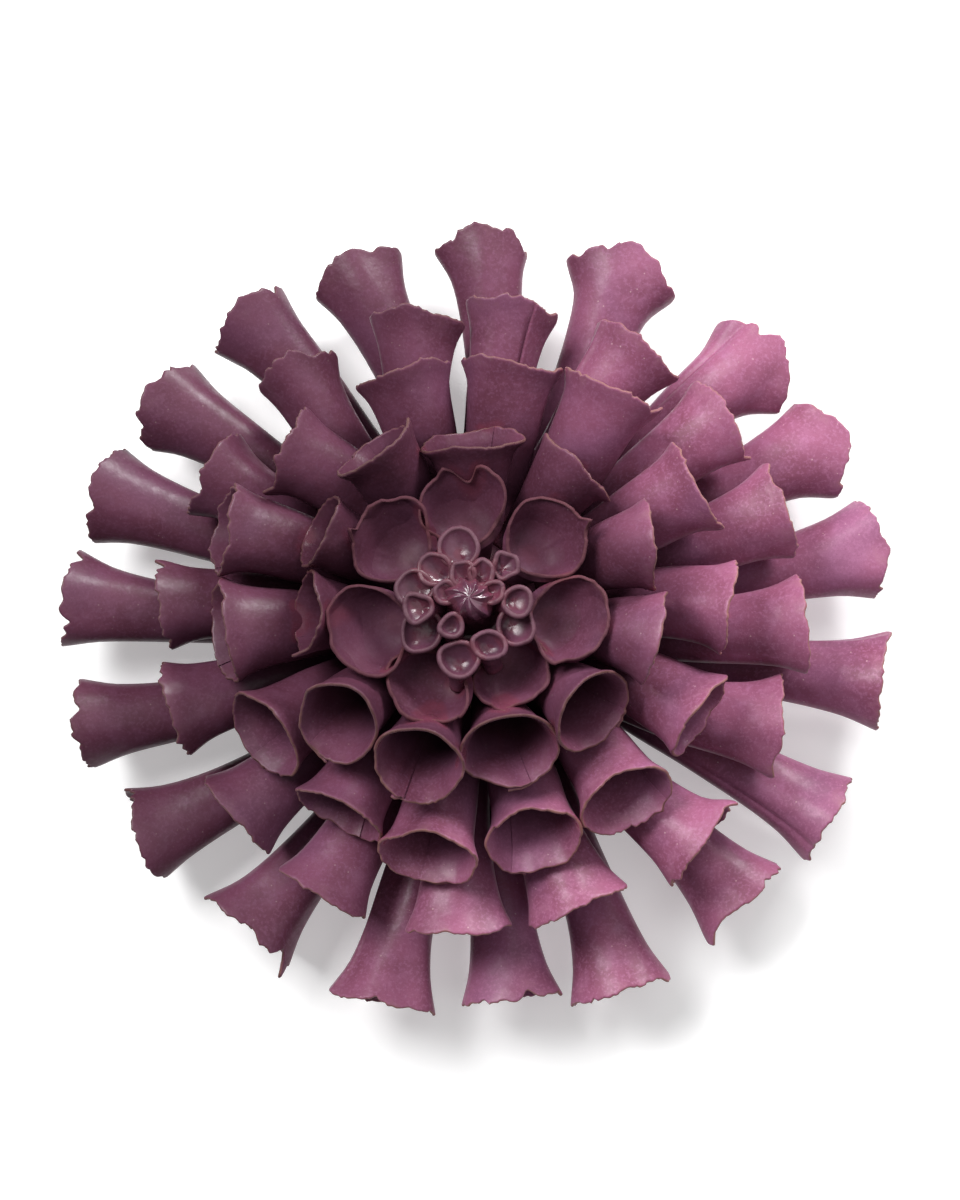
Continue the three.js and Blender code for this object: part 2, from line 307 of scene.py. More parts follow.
class Petal:
    """One rolled petal: the CAD rings it follows, what its maker's hand did to it, and how much painted
    shade it carries.
    """

    def __init__(self, name, rings, seed, node, **hand):
        self.name, self.rings, self.node = name, rings, node
        self.rng = np.random.default_rng(seed)
        self.columns = hand.get("columns", 132)
        self.seam = hand.get("seam", self.rng.uniform(235, 305))
        self.overlap = hand.get("overlap", self.rng.uniform(16, 34))
        self.handed = hand.get("handed", self.rng.choice([-1, 1]))
        self.flap = hand.get("flap", 0.5) * mm
        self.torn = hand.get("torn", 0.45) * mm
        self.wave = hand.get("wave", 0.7) * mm
        self.ripple = hand.get("ripple", 0.8) * mm
        self.dents = hand.get("dents", 0.35) * mm
        self.notches = hand.get("notches", ())
        self.spikes = hand.get("spikes", ())
        self.curls = hand.get("curls", ())
        self.creases = hand.get("creases", ())
        self.flare = hand.get("flare", 0.6) * mm
        self.under = hand.get("under", 0.0) * mm
        # shade: how much painted shade darkens the outer face towards the root.
        self.shade = hand.get("shade", 0.75)
        self.swell = hand.get("swell", 1.6) * mm

    def lip_extra(self, angles):
        """How far the lip stands out beyond the CAD lip."""
        rng = self.rng
        extra = waves(rng, angles, (2, 3, 4, 6), self.wave)
        extra += self.under * np.clip(-np.sin(angles), 0, 1)
        extra += torn(rng, angles, 26, self.torn * 0.65) + torn(rng, angles, 70, self.torn * 0.5)
        return extra + lip_marks(angles, self.notches, self.spikes)

    def build(self, material, slot):
        rng = self.rng
        rings = self.rings
        centres = rings.mean(axis=1)
        length = np.linalg.norm(np.diff(centres, axis=0), axis=1).sum()
        turn = FULL + np.radians(self.overlap)
        spread = np.linspace(SIDE_STEPS[-1], turn - SIDE_STEPS[-1], self.columns)[1:-1]
        travel = np.concatenate([SIDE_STEPS, spread, (turn - SIDE_STEPS)[::-1]])
        angles = travel + np.radians(self.seam)
        from_flap = travel if self.handed > 0 else turn - travel

        # Rows run down from the lip, close together there and further apart towards the root.
        far = np.linspace(0, 1, 22)[1:] ** 1.15
        lip = 1 + self.lip_extra(angles) / length
        root = -ROOT_SINK / length
        down = lip[None, :] - LIP_STEPS[:, None] / length
        rest = down[-1][None, :] * (1 - far[:, None]) + root * far[:, None]
        along = np.concatenate([down, rest])[::-1]
        weights = around_weights(angles)
        base = np.einsum("vuk,un,knc->vuc", along_weights(along), weights, rings)
        normals = normals_of(base)

        # The hand: an uneven lip, a full trunk, dents, creases, curls, and the seam.
        mouth = smooth(0.62, 1.0, along)
        out = waves(rng, angles, (2, 3, 5), self.ripple)[None, :] * mouth
        out = out + self.flare * smooth(0.86, 1.0, along)
        out = out + self.swell * smooth(-0.1, 0.3, along) * (1 - smooth(0.5, 1.0, along))
        out = out + dented(rng, angles, along, 5, 5, 3.2, self.dents)
        for centre, width, depth in self.creases:
            ridge = spike(angles, centre, width)[None, :] ** 1.5
            out = out + depth * mm * ridge * smooth(0.25, 0.8, along)
        for centre, width, size in self.curls:
            out = out + size * mm * bell(angles, centre, width)[None, :] * smooth(0.8, 1.02, along) ** 1.5
        lifted = np.clip(1 - from_flap / FLAP_TURN, 0, 1) ** 1.6
        out = out + self.flap * lifted[None, :] * smooth(0.55, 1.0, along)
        thickness = SHEET + (LIP_SHEET - SHEET) * smooth(0.25, 0.95, along)
        under = smooth(DIP_STARTS, DIP_ENDS, from_flap)
        out = out - (thickness + SEAM_GAP) * under[None, :]
        feather = 1 - 0.9 * smooth(FEATHER_STARTS, turn, from_flap)
        thickness = thickness * feather[None, :]
        # Clay smeared out where the root was luted on.
        from_root = np.clip(along, 0, None) * length
        out = out + SMEAR * np.exp(-from_root / SMEAR_REACH) * (1 - under[None, :])
        outer = base + normals * out[..., None]

        radius = np.linalg.norm(outer - outer.mean(axis=1, keepdims=True), axis=-1)
        to_lip = (lip[None, :] - along) * length
        to_side = np.minimum(travel, turn - travel)[None, :] * radius
        to_root = (along - root) * length
        edge_distance = np.minimum(np.minimum(to_lip, to_side), to_root)
        points, faces, inside = sheet_mesh(outer, thickness, edge_distance)
        rim = np.exp(-np.maximum(to_lip, 0) / RIM_REACH)
        to_flap = from_flap[None, :] * radius
        rim = np.maximum(rim, 0.5 * np.exp(-to_flap / FLAP_RIM_REACH) * smooth(0.3, 0.9, along))
        pool = 0.8 * np.exp(-from_root / ROOT_POOL_REACH)
        seam_pool = 0.5 * np.exp(-((from_flap[None, :] - FULL) * radius / SEAM_POOL_REACH) ** 2)
        pool = np.maximum(pool, seam_pool * smooth(1.0, 0.5, along))
        # Painted shade: the outer face darkens towards the root, and the inner face darkens down into the
        # hollow.
        outer_shade = self.shade * (1 - smooth(0.0, 0.75, along))
        hollow = 1 - smooth(0.35, 0.95, along)
        painted_shade = np.concatenate([outer_shade.reshape(-1), hollow[inside].reshape(-1)])
        rim, pool = on_sheet(rim, inside), on_sheet(pool, inside)
        keep(self.name, points, faces, rim, pool, painted_shade, material, slot, self.node)


class Bowl:
    """A spoon-shaped petal or curl: closed below, with a rounded hollow that ends part of the way down."""

    def __init__(self, name, rings, seed, node, **hand):
        self.name, self.rings, self.node = name, rings, node
        self.rng = np.random.default_rng(seed)
        self.columns = hand.get("columns", 110)
        self.bottom = hand.get("bottom", 0.5)
        self.spoon = hand.get("spoon", 0.0)
        self.pooled = hand.get("pooled", 0.6)
        self.lip_sheet = hand.get("lip_sheet", 1.2) * mm
        self.torn = hand.get("torn", 0.3) * mm
        self.wave = hand.get("wave", 0.5) * mm
        self.ripple = hand.get("ripple", 0.5) * mm
        self.dents = hand.get("dents", 0.25) * mm
        self.cut = hand.get("cut", 0.0) * mm
        self.notches = hand.get("notches", ())
        self.spikes = hand.get("spikes", ())
        self.flare = hand.get("flare", 0.3) * mm
        self.rim_width = hand.get("rim_width", 0.5) * mm
        # shade: how much painted shade falls at the foot and inside the hollow.
        self.shade = hand.get("shade", 0.5)

    def build(self, material, slot):
        rng = self.rng
        angles = np.linspace(0, FULL, self.columns, endpoint=False)
        centres = self.rings.mean(axis=1)
        length = np.linalg.norm(np.diff(centres, axis=0), axis=1).sum()
        extra = waves(rng, angles, (2, 3, 4), self.wave)
        extra += torn(rng, angles, 24, self.torn) + torn(rng, angles, 50, self.torn * 0.5)
        extra -= self.cut * np.clip(np.sin(angles), 0, 1) ** 1.5
        extra += lip_marks(angles, self.notches, self.spikes)
        lip = 1 + extra / length
        radius = self.lip_sheet / 2
        down = lip[None, :] - (BOWL_LIP_STEPS + radius)[:, None] / length
        far = np.linspace(0, 1, 17)[1:, None]
        root = -0.02
        along = np.concatenate([down, down[-1] * (1 - far) + root * far])[::-1]
        weights = around_weights(angles)

        def surface(rows):
            return np.einsum("vuk,un,knc->vuc", along_weights(rows), weights, self.rings)

        def periodic_normals(grid):
            wrapped = np.concatenate([grid[:, -2:], grid, grid[:, :2]], axis=1)
            return normals_of(wrapped)[:, 2:-2]

        base = surface(along)
        normals = periodic_normals(base)
        mouth = smooth(0.5, 1.0, along)
        out = waves(rng, angles, (2, 3, 5), self.ripple)[None, :] * mouth
        out = out + self.flare * smooth(0.8, 1.0, along)
        out = out + dented(rng, angles, along, 4, 4, 2.5, self.dents)
        outer = base + normals * out[..., None]
        normals = periodic_normals(outer)
        # The round lip leads over into the hollow, which closes like the end of an egg.
        edge, edge_normal = outer[-1], normals[-1]
        ahead = unit(outer[-1] - outer[-3])
        middle = edge - edge_normal * radius
        turns = np.linspace(0, np.pi, 7)[1:, None, None]
        lip_rows = middle + radius * (np.cos(turns) * edge_normal + np.sin(turns) * ahead)
        turns_in = np.linspace(0, np.pi / 2, 19)[1:-1, None]
        top = along[-1][None, :]
        if self.spoon:
            # A shallow spoon: the inner edge drawn together while it sinks below the mouth.
            inner_edge = lip_rows[-1]
            centre = inner_edge.mean(axis=0)
            mouth_radius = np.linalg.norm(inner_edge - centre, axis=1).mean()
            below = unit(centres[-2] - centres[-1]) * self.spoon * mouth_radius
            pull, sunk = np.cos(turns_in), np.sin(turns_in)
            inward = centre + (inner_edge - centre) * pull[..., None] + below * sunk[..., None]
            depth, end = np.repeat(top, len(turns_in), axis=0), centre + below
        else:
            depth = top - (top - self.bottom) * np.sin(turns_in)
            wall = surface(depth)
            pull = np.cos(turns_in) ** 0.62
            wall_normals = periodic_normals(wall)
            offset = np.interp(depth, along[:, 0], out.mean(axis=1))
            ripple_in = out[-1][None, :] - out[-1].mean()
            wall = wall + wall_normals * (offset + ripple_in * smooth(0.5, 1.0, depth))[..., None]
            sheet = 2 * radius + (SHEET - 2 * radius) * smooth(0, 0.5, 1 - pull)
            level = np.repeat(depth.mean(axis=1, keepdims=True), self.columns, axis=1)
            spine = surface(level).mean(axis=1, keepdims=True)
            inward = wall - wall_normals * sheet[..., None]
            inward = spine + (inward - spine) * pull[..., None]
            end = surface(np.full((1, self.columns), self.bottom)).mean(axis=(0, 1))
        grid = np.concatenate([outer, lip_rows, inward])
        points, faces = turned_mesh(grid, outer[0].mean(axis=0), end)
        from_lip = np.concatenate([
            (lip[None, :] - along) * length,
            np.zeros((len(lip_rows), self.columns)),
            (1 - pull) * np.full((1, self.columns), 6 * mm) + (top - depth) * length,
        ])
        rim = np.exp(-from_lip / self.rim_width)
        hollow = np.concatenate([
            np.zeros((len(outer) + len(lip_rows), self.columns)),
            1 - pull * np.ones((1, self.columns)),
        ])
        foot = np.concatenate([
            np.exp(-np.clip(along, 0, None) * length / ROOT_POOL_REACH),
            np.zeros((len(lip_rows) + len(inward), self.columns)),
        ])
        pool = np.maximum(0.85 * foot, self.pooled * smooth(0.25, 0.9, hollow))
        ends = np.array([0.0, 0.0])
        rim = np.concatenate([rim.reshape(-1), ends])
        pool = np.concatenate([pool.reshape(-1), ends + 0.6])
        # Painted shade at the foot and further down into the hollow.
        painted_shade = self.shade * (foot + smooth(0.0, 0.35, hollow) * 0.6 + 0.4 * hollow)
        painted_shade = np.concatenate([np.clip(painted_shade, 0, 1).reshape(-1), ends + self.shade])
        keep(self.name, points, faces, rim, pool, painted_shade, material, slot, self.node)


def revolve(profile, columns, seed, bumps):
    """A closed hand-turned body on the Z axis: a profile of (radius, height) from the bottom to the top."""
    rng = np.random.default_rng(seed)
    profile = np.array(profile)
    steps = np.concatenate([[0], np.cumsum(np.linalg.norm(np.diff(profile, axis=0), axis=1))])
    fine = np.linspace(0, steps[-1], int(steps[-1] / (0.9 * mm)) + 2)
    radii, heights = np.interp(fine, steps, profile[:, 0]), np.interp(fine, steps, profile[:, 1])
    for _ in range(3):
        radii[1:-1] = (radii[:-2] + radii[1:-1] * 2 + radii[2:]) / 4
        heights[1:-1] = (heights[:-2] + heights[1:-1] * 2 + heights[2:]) / 4
    angles = np.linspace(0, FULL, columns, endpoint=False)
    uneven = np.zeros((len(fine), columns))
    for _ in range(10):
        around, runs = rng.integers(2, 14), rng.uniform(0.5, 4)
        level = np.cos(runs * FULL * fine / fine[-1] + rng.uniform(0, FULL))
        uneven += rng.normal() * level[:, None] * np.cos(around * angles + rng.uniform(0, FULL))
    wide = radii[:, None] + bumps * uneven / 3 * smooth(0, 2 * mm, radii)[:, None]
    x, y = wide * np.cos(angles), wide * np.sin(angles)
    grid = np.stack([x, y, np.repeat(heights[:, None], columns, axis=1)], axis=-1)
    return turned_mesh(grid, (0, 0, heights[0]), (0, 0, heights[-1]))


# ---------------------------------------------------------------- materials


def node_group(tree):
    """Short ways to add shader nodes and wire them."""
    nodes, links = tree.nodes, tree.links

    def add(kind, inputs=None, **settings):
        node = nodes.new(kind)
        for key, value in settings.items():
            setattr(node, key, value)
        for key, value in (inputs or {}).items():
            if isinstance(value, bpy.types.NodeSocket):
                links.new(value, node.inputs[key])
            else:
                node.inputs[key].default_value = value
        return node

    return add


def noise(add, where, scale, detail=3.0, roughness=0.5, distortion=0.0):
    inputs = {
        "Vector": where,
        "Scale": scale,
        "Detail": detail,
        "Roughness": roughness,
        "Distortion": distortion,
    }
    return add("ShaderNodeTexNoise", inputs).outputs["Fac"]


def ranged(add, value, low, high, to_low=0.0, to_high=1.0):
    inputs = {"Value": value, 1: low, 2: high, 3: to_low, 4: to_high}
    return add("ShaderNodeMapRange", inputs, interpolation_type="SMOOTHSTEP").outputs["Result"]


def maths(add, operation, a, b=0.0):
    return add("ShaderNodeMath", {0: a, 1: b}, operation=operation).outputs[0]


def mixed(add, factor, a, b, kind="MIX"):
    inputs = {"Factor": factor, 6: a, 7: b}
    return add("ShaderNodeMix", inputs, data_type="RGBA", blend_type=kind).outputs[2]


def new_material(name):
    material = bpy.data.materials.new(name)
    material.use_nodes = True
    material.node_tree.nodes.clear()
    add = node_group(material.node_tree)
    shader = add("ShaderNodeBsdfPrincipled")
    add("ShaderNodeOutputMaterial", {"Surface": shader.outputs["BSDF"]})
    where = add("ShaderNodeTexCoord").outputs["Object"]
    return material, add, shader, where


def dressed(material, shader, colour, rough, bump):
    """The material with its colour, roughness and bump on its shader."""
    links = material.node_tree.links
    links.new(colour, shader.inputs["Base Color"])
    links.new(rough, shader.inputs["Roughness"])
    links.new(bump.outputs["Normal"], shader.inputs["Normal"])
    return material


DEEP = (0.195, 0.056, 0.100, 1)
PLUM = (0.295, 0.093, 0.170, 1)
MAUVE = (0.385, 0.155, 0.280, 1)
LAVENDER = (0.285, 0.124, 0.245, 1)
PINK = (0.420, 0.085, 0.135, 1)
OCHRE = (0.235, 0.110, 0.078, 1)
PALE = (0.640, 0.440, 0.450, 1)
CLAY = (0.560, 0.380, 0.270, 1)
DARK_CLAY = (0.400, 0.240, 0.160, 1)
# The near-black colour that painted shade darkens towards.
SHADE_COLOUR = (0.020, 0.005, 0.009, 1)


def glaze(name, gloss=0.0, pink=0.0, bare=0.75, shine=0.24):
    """Plum glaze: mottled and speckled, thin and brown on the lips, thick, pink and glassy in its pools,
    and darkened by painted shade.
    """
    material, add, shader, where = new_material(name)
    rim = add("ShaderNodeAttribute", attribute_name="rim").outputs["Fac"]
    pool = add("ShaderNodeAttribute", attribute_name="pool").outputs["Fac"]
    painted_shade = add("ShaderNodeAttribute", attribute_name="painted_shade").outputs["Fac"]
    broad = noise(add, where, 45, 3)
    patches = noise(add, where, 190, 4, 0.6, 0.3)
    mottle = noise(add, where, 1050, 3, 0.6)
    speckle = noise(add, where, 2600, 2, 0.5)
    colour = mixed(add, ranged(add, broad, 0.3, 0.7), DEEP, PLUM)
    drift = ranged(add, noise(add, where, 30, 2, 0.5, 0.5), 0.48, 0.72, 0.0, 0.35)
    colour = mixed(add, drift, colour, LAVENDER)
    colour = mixed(add, maths(add, "MULTIPLY", ranged(add, patches, 0.42, 0.72), 0.35), colour, MAUVE)
    colour = mixed(add, maths(add, "MULTIPLY", ranged(add, mottle, 0.48, 0.66), 0.42), colour, MAUVE)
    colour = mixed(add, maths(add, "MULTIPLY", ranged(add, speckle, 0.55, 0.7), 0.35), colour, DEEP)
    cells = add("ShaderNodeTexVoronoi", {"Vector": where, "Scale": 420.0, "Randomness": 1.0})
    spots = ranged(add, cells.outputs["Distance"], 0.05, 0.14, 1.0, 0.0)
    chosen = ranged(add, noise(add, where, 300, 1), 0.56, 0.62)
    colour = mixed(add, maths(add, "MULTIPLY", maths(add, "MULTIPLY", spots, chosen), 0.5), colour, PALE)
    # Pooled glaze.
    break_up = ranged(add, patches, 0.25, 0.65, 0.35, 1.0)
    pooled = maths(add, "MULTIPLY", ranged(add, pool, 0.25, 0.9), break_up)
    if pink:
        pooled = maths(add, "MAXIMUM", pooled, maths(add, "MULTIPLY", ranged(add, patches, 0.4, 0.7), pink))
    colour = mixed(add, maths(add, "MULTIPLY", pooled, 0.6), colour, PINK)
    # Thin glaze on the lip.
    thin = ranged(add, maths(add, "ADD", rim, maths(add, "MULTIPLY", patches, 0.7)), 0.85, 1.35)
    further = maths(add, "MULTIPLY", maths(add, "POWER", rim, 0.2), ranged(add, patches, 0.48, 0.7))
    colour = mixed(add, maths(add, "MULTIPLY", further, bare * 0.5), colour, OCHRE)
    colour = mixed(add, maths(add, "MULTIPLY", thin, bare), colour, OCHRE)
    # Painted shade: the colour darkens towards near black where the painted shade attribute is high.
    colour = mixed(add, maths(add, "MULTIPLY", painted_shade, 0.9), colour, SHADE_COLOUR)
    shader.inputs["IOR"].default_value = 1.5
    shader.inputs["Specular IOR Level"].default_value = shine
    rough = ranged(add, patches, 0.3, 0.7, 0.44 - gloss, 0.33 - gloss)
    rough = maths(add, "ADD", rough, maths(add, "MULTIPLY", thin, 0.25))
    rough = maths(add, "SUBTRACT", rough, maths(add, "MULTIPLY", pooled, 0.17))
    height = noise(add, where, 240, 2)
    height = maths(add, "ADD", height, maths(add, "MULTIPLY", mottle, 0.16))
    height = maths(add, "ADD", height, maths(add, "MULTIPLY", speckle, 0.05))
    bump = add("ShaderNodeBump", {"Height": height, "Strength": 0.55, "Distance": 0.35 * mm})
    return dressed(material, shader, colour, rough, bump)


def bare_clay(name):
    """Fired clay without glaze: warm, matt and gritty, with darker handled patches."""
    material, add, shader, where = new_material(name)
    broad = noise(add, where, 60, 4, 0.6)
    grit = noise(add, where, 1500, 3, 0.7)
    streak = noise(add, where, 260, 4, 0.65, 0.8)
    colour = mixed(add, ranged(add, broad, 0.35, 0.7), CLAY, DARK_CLAY)
    colour = mixed(add, maths(add, "MULTIPLY", ranged(add, grit, 0.55, 0.75), 0.5), colour, DARK_CLAY)
    colour = mixed(add, maths(add, "MULTIPLY", ranged(add, streak, 0.55, 0.8), 0.35), colour, PALE)
    rough = ranged(add, streak, 0.3, 0.7, 0.95, 0.75)
    height = maths(add, "ADD", streak, maths(add, "MULTIPLY", grit, 0.35))
    bump = add("ShaderNodeBump", {"Height": height, "Strength": 0.6, "Distance": 0.4 * mm})
    return dressed(material, shader, colour, rough, bump)


plum = glaze("plum_glaze")
heart_plum = glaze("heart_glaze", gloss=-0.14, pink=0.10, bare=0.4, shine=0.1)
curl_plum = glaze("curl_glaze", gloss=0.0, pink=0.15, bare=0.15, shine=0.4)
bud_plum = glaze("bud_glaze", gloss=0.17, pink=0.0, bare=0.0, shine=0.9)
clay = bare_clay("bare_clay")

# ---------------------------------------------------------------- the rings


def petal_names(prefix):
    return sorted(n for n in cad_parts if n.startswith(prefix))


# What the hand did to each ring and to single petals. Notches, spikes, curls and creases are each an
# angle and a width in degrees with a size in millimetres. The seam and the overlap are in degrees.
RINGS = {
    "outer_petal": {"columns": 140, "torn": 0.55, "wave": 0.7, "swell": 1.5},
    "second_petal": {"columns": 132, "torn": 0.45, "wave": 0.7, "swell": 2.3},
    "third_petal": {"columns": 124, "torn": 0.4, "wave": 0.7, "swell": 2.8},
}
HANDS = {
    "outer_petal_01": {
        "notches": [(170, 30, 5)], "spikes": [(138, 14, 1.5)],
        "curls": [(90, 45, -3.0), (0, 35, 1.5), (180, 35, 1.5)],
    },
    "outer_petal_02": {
        "notches": [(62, 9, 1.6)], "spikes": [(-16, 14, 3)], "seam": 200,
        "curls": [(90, 45, -4.0), (0, 40, 3.0), (180, 40, 3.0)],
    },
    "outer_petal_03": {
        "notches": [(66, 8, 2)], "creases": [(40, 16, -1.2)],
        "curls": [(90, 45, -3.5), (0, 40, 2.0), (180, 40, 2.0)],
    },
    "outer_petal_04": {"spikes": [(100, 40, 1.5)], "curls": [(90, 45, -3.5), (180, 40, 1.5)]},
    "outer_petal_05": {"notches": [(140, 16, 1.5)], "curls": [(90, 45, -2.0)]},
    "outer_petal_06": {"creases": [(30, 14, 0.8)], "spikes": [(14, 16, 1.2)], "torn": 0.6},
    "outer_petal_07": {"creases": [(140, 12, -0.9)], "spikes": [(12, 20, 1.2), (168, 22, 1.5)]},
    "outer_petal_08": {"spikes": [(20, 20, 2), (160, 22, 2.5)], "torn": 0.8},
    "outer_petal_09": {"spikes": [(18, 22, 2)], "torn": 0.6},
    "outer_petal_10": {"notches": [(70, 10, 2.2), (128, 7, 1.2)], "torn": 0.7},
    "outer_petal_11": {"seam": 168, "handed": -1, "curls": [(165, 26, 1.2)], "creases": [(160, 10, 0.7)]},
    "outer_petal_12": {"notches": [(35, 12, 3)], "spikes": [(12, 9, 4), (160, 16, 2)], "torn": 0.8},
    "outer_petal_13": {"notches": [(150, 22, 2.5)], "torn": 0.8},
    "outer_petal_14": {"notches": [(105, 8, 2)], "torn": 0.8},
    "outer_petal_15": {
        "spikes": [(172, 14, 2)], "notches": [(150, 12, 1.5), (55, 8, 2.0), (38, 8, 1.5)], "torn": 0.7,
    },
    "outer_petal_16": {"notches": [(66, 8, 2.4)], "torn": 0.7},
    "outer_petal_17": {"torn": 0.95},
    "outer_petal_18": {"torn": 0.8},
    "outer_petal_19": {"notches": [(126, 12, 2)], "torn": 0.6, "curls": [(90, 45, -2.5), (180, 40, 1.0)]},
    "second_petal_01": {"seam": 122, "overlap": 30, "handed": 1, "flap": 1.3, "torn": 0.6},
    "second_petal_02": {"creases": [(28, 12, 1.0)], "spikes": [(168, 30, 2)]},
    "second_petal_03": {"spikes": [(175, 18, 1)], "torn": 0.5},
    "second_petal_04": {"spikes": [(25, 14, 2)], "torn": 0.6},
    "second_petal_07": {"curls": [(30, 26, 3.0)], "spikes": [(24, 16, 3)]},
    "second_petal_12": {"torn": 0.8, "under": 2},
    "second_petal_13": {"torn": 0.8, "spikes": [(168, 14, 3)]},
    "second_petal_14": {"torn": 0.9, "notches": [(60, 18, 3)], "under": 1},
    "second_petal_15": {"torn": 0.7, "notches": [(120, 14, 2)]},
    "second_petal_16": {"seam": 150, "handed": -1, "flap": 1.6, "curls": [(150, 20, 1.2)]},
    "third_petal_01": {"torn": 0.55, "spikes": [(165, 18, 1.5)]},
    "third_petal_02": {"torn": 0.6, "spikes": [(170, 16, 3.5)]},
    "third_petal_03": {"spikes": [(172, 20, 2.5)], "torn": 0.5},
    "third_petal_11": {"under": 5, "torn": 0.6},
    "third_petal_12": {"under": 5, "torn": 0.6, "spikes": [(20, 18, 1.5)]},
    "third_petal_13": {"torn": 0.6, "spikes": [(15, 16, 3)]},
    "fourth_01": {"curls": [(168, 30, 2.0), (20, 26, 1.5)], "wave": 0.9},
    "fourth_02": {"curls": [(172, 28, 3.0)], "wave": 0.9},
    "fourth_09": {"spikes": [(12, 20, 3)]},
    "fourth_10": {"curls": [(90, 40, -1.0)], "wave": 1.2},
    "fourth_11": {"curls": [(30, 30, 2.0)], "spikes": [(165, 18, 2)]},
    "cup_petal_01": {"notches": [(250, 14, 3)], "spikes": [(275, 14, 1.5)]},
    "cup_petal_02": {"spikes": [(262, 9, 2.5)]},
    "cup_petal_03": {"notches": [(200, 22, 2.5)]},
    "cup_petal_04": {"spikes": [(215, 10, 2.5)], "torn": 0.45},
    "cup_petal_05": {"torn": 0.45},
    "cup_petal_07": {"spikes": [(300, 8, 2.5)], "torn": 0.4},
    "curl_03": {"lift": -0.4},
    "curl_04": {"lift": 1.7},
    "curl_05": {"lift": -0.6},
    "curl_08": {"lift": -0.4},
    "curl_09": {"lift": 1.7},
}
seed = 100
for ring_name, ring_hand in RINGS.items():
    for node_name in petal_names(ring_name):
        seed += 1
        rings = trumpets(node_name, SINGLE_LAYERS)[0]
        hand = {**ring_hand, **HANDS.get(node_name, {})}
        Petal(node_name + "_clay", rings, seed, node_name, **hand).build(plum, "plum_glaze")

FOURTH = {"columns": 120, "torn": 0.35, "wave": 0.6, "swell": 0.8}
fourth_rings = trumpets("fourth_ring", GROUPED_LAYERS)
for index, rings in enumerate(fourth_rings):
    seed += 1
    name = f"fourth_petal_{index + 1:02d}_clay"
    hand = {**FOURTH, **HANDS.get(f"fourth_{index + 1:02d}", {})}
    Petal(name, rings, seed, "fourth_ring", **hand).build(plum, "plum_glaze")

# The cups open a little wider than in the CAD towards their lips.
CUP_WIDENING = np.array([1.0, 1.02, 1.08, 1.14])
CUPS = {"columns": 132, "bottom": 0.5, "cut": 5, "torn": 0.28, "wave": 0.7, "ripple": 0.9, "flare": 0.8}
cup_roots = []
for node_name in petal_names("cup_petal"):
    seed += 1
    rings = trumpets(node_name, SINGLE_LAYERS)[0]
    cup_roots.append(rings[0])
    middle = rings.mean(axis=1, keepdims=True)
    rings = middle + (rings - middle) * CUP_WIDENING[:, None, None]
    hand = {**CUPS, **HANDS.get(node_name, {})}
    Bowl(node_name + "_clay", rings, seed, node_name, **hand).build(heart_plum, "heart_glaze")

# ---------------------------------------------------------------- dome, collar and heart


def mean_place(rings):
    """The mean distance from the flower's axis and the mean height of some rings' centres."""
    centres = [ring.mean(axis=0) for ring in rings]
    return np.mean([(np.hypot(*centre[:2]), centre[2]) for centre in centres], axis=0)


def band(centre, way, half=5.4 * mm):
    """Where a ring of petals meets the body: the lower and the upper edge as (radius, height)."""
    square = np.array([-way[1], way[0]])
    return [centre - square * half, centre + square * half]


dome_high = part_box("dome")[1]
heart_low, heart_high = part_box("heart")
fourth_root = mean_place([rings[0] for rings in fourth_rings])
fourth_next = mean_place([rings[1] for rings in fourth_rings])
fourth_low, fourth_top = band(fourth_root, unit(fourth_next - fourth_root))
# The cups leave the collar at a slope of 6.4 outwards to 7.7 upwards.
cup_low, cup_top = band(mean_place(cup_roots), unit(np.array([6.4, 7.7])))
collar = [
    (fourth_low[0], dome_high.z + 0.1 * mm),
    (fourth_low[0] + 0.3 * mm, dome_high.z + 1.5 * mm),
    tuple(fourth_top),
    tuple(cup_low),
    tuple(cup_top),
    (cup_top[0] - 2 * mm, heart_low.z - 0.1 * mm),
    (0.5 * mm, heart_low.z - 0.1 * mm),
]
points, faces = revolve([(0.5 * mm, dome_high.z + 0.1 * mm), *collar], 140, 31, 0.35 * mm)
# The collar carries painted shade of 0.8 all over.
keep("collar_clay", points, faces, 0, 0.25, 0.8, plum, "plum_glaze", "fourth_ring")

# The heart's curls in degrees from the flower's top and in millimetres, the outer ones first.
OUTER_CURLS = 10
CURL_TURNS = (348, 310, 281, 259, 236, 190, 157, 120, 95, 48, 26, 346, 282, 213, 77)
CURL_REACHES = (17, 15, 18, 17, 18, 19, 16, 17, 16, 16, 10, 9, 9, 11, 9)
CURL_WIDTHS = (11, 9, 10, 8, 12, 11, 9, 11, 8, 7, 8, 8, 7, 8, 7)
CURL_STEM = 5.0


def curl_rings(root, mouth, way, stem, width, height, tip):
    """Four rings round a bent spine from a root to a mouth, with a mouth cut at a slant."""
    root, mouth, way = np.array(root), np.array(mouth), unit(np.array(way))
    elbow = mouth - way * np.linalg.norm(mouth - root) * 0.55
    rings = []
    for station in STATIONS:
        back = 1 - station
        middle = root * back**2 + elbow * 2 * back * station + mouth * station**2
        tangent = unit((elbow - root) * back + (mouth - elbow) * station)
        across = unit(np.cross((0.0, 0.0, 1.0), tangent + np.array([0, 1e-4, 0])))
        upward = np.cross(tangent, across)
        swell = station**1.7
        wide, high = stem + (width - stem) * swell, stem + (height - stem) * swell
        angles = FULL * np.arange(SIDES) / SIDES
        ring = middle + across * (np.cos(angles) * wide / 2)[:, None]
        ring = ring + upward * (np.sin(angles) * high / 2)[:, None]
        rings.append(ring + tangent * (tip * np.sin(angles) * station)[:, None])
    return np.array(rings)


